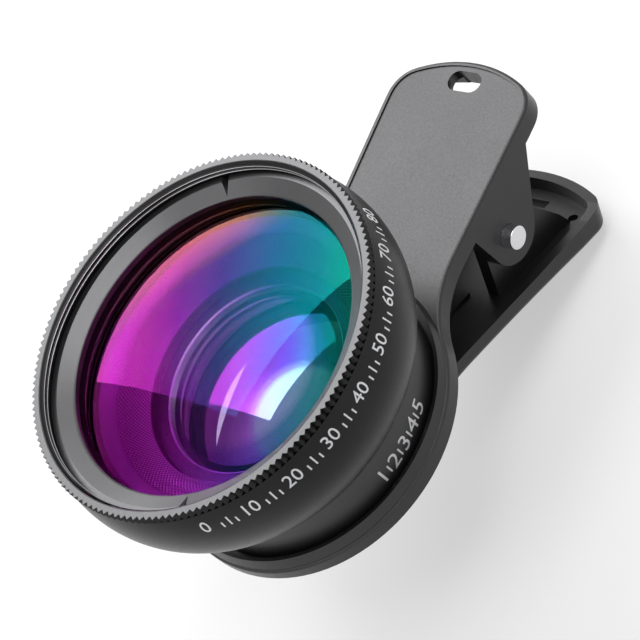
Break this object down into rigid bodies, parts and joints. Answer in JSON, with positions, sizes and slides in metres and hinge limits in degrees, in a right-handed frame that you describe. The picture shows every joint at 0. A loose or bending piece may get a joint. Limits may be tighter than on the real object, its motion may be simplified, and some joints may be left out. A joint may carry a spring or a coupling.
{
  "type": "clip-on phone lens",
  "caption": "Wide-angle lens in a knurled bell barrel on a close-up lens, screwed into a sprung hinged clip that grips a phone",
  "frame": {"origin": "where the optical axis meets the face of the clip's upper pad, which is the phone's back", "axes": "+Z along the optical axis out of the front of the lens, +Y from the axis towards the clip's handles, +X along the hinge pin"},
  "size_m": [0.0532, 0.0821, 0.0525],
  "materials": {
    "black_barrel": "black anodised, fine satin",
    "grey_ring": "matte dark grey anodised",
    "black_ring": "black anodised",
    "front_glass": "polished, with a magenta, blue and teal anti-reflection coating",
    "rear_glass": "polished, coated",
    "macro_glass": "polished, coated",
    "baffle_black": "matte black, fine turned grooves",
    "seal_rubber": "matte",
    "clip_plastic": "dark satin grain",
    "pad_rubber": "soft matte",
    "pin_steel": "bright ground steel",
    "spring_steel": "bright spring wire"
  },
  "bodies": {
    "clip_top": {"upper_arm": "clip_plastic", "upper_pad": "pad_rubber", "pivot_pin": "pin_steel", "torsion_spring": "spring_steel"},
    "clip_bottom": {"lower_arm": "clip_plastic", "lower_pad": "pad_rubber"},
    "macro_lens": {"macro_barrel": "black_barrel", "macro_element": "macro_glass", "macro_retaining_ring": "black_ring"},
    "wide_lens": {"wide_barrel": "black_barrel", "front_retaining_ring": "grey_ring", "front_element": "front_glass", "front_seal_ring": "seal_rubber", "baffle": "baffle_black", "rear_retaining_ring": "black_ring", "rear_element": "rear_glass"}
  },
  "joints": [
    {"name": "jaw_hinge", "type": "hinge", "parent": "clip_top", "child": "clip_bottom", "pos_m": [0, 0.0346, -0.0047], "axis": [1, 0, 0], "range_deg": [0, 45], "stiffness_Nm_per_rad": 0.12, "springref_deg": -45.84, "deforming": ["torsion_spring"]},
    {"name": "macro_unscrew", "type": "slide", "parent": "clip_top", "child": "macro_lens", "axis": [0, 0, 1], "range_m": [0, 0.01]},
    {"name": "wide_unscrew", "type": "slide", "parent": "macro_lens", "child": "wide_lens", "axis": [0, 0, 1], "range_m": [0, 0.01]}
  ]
}
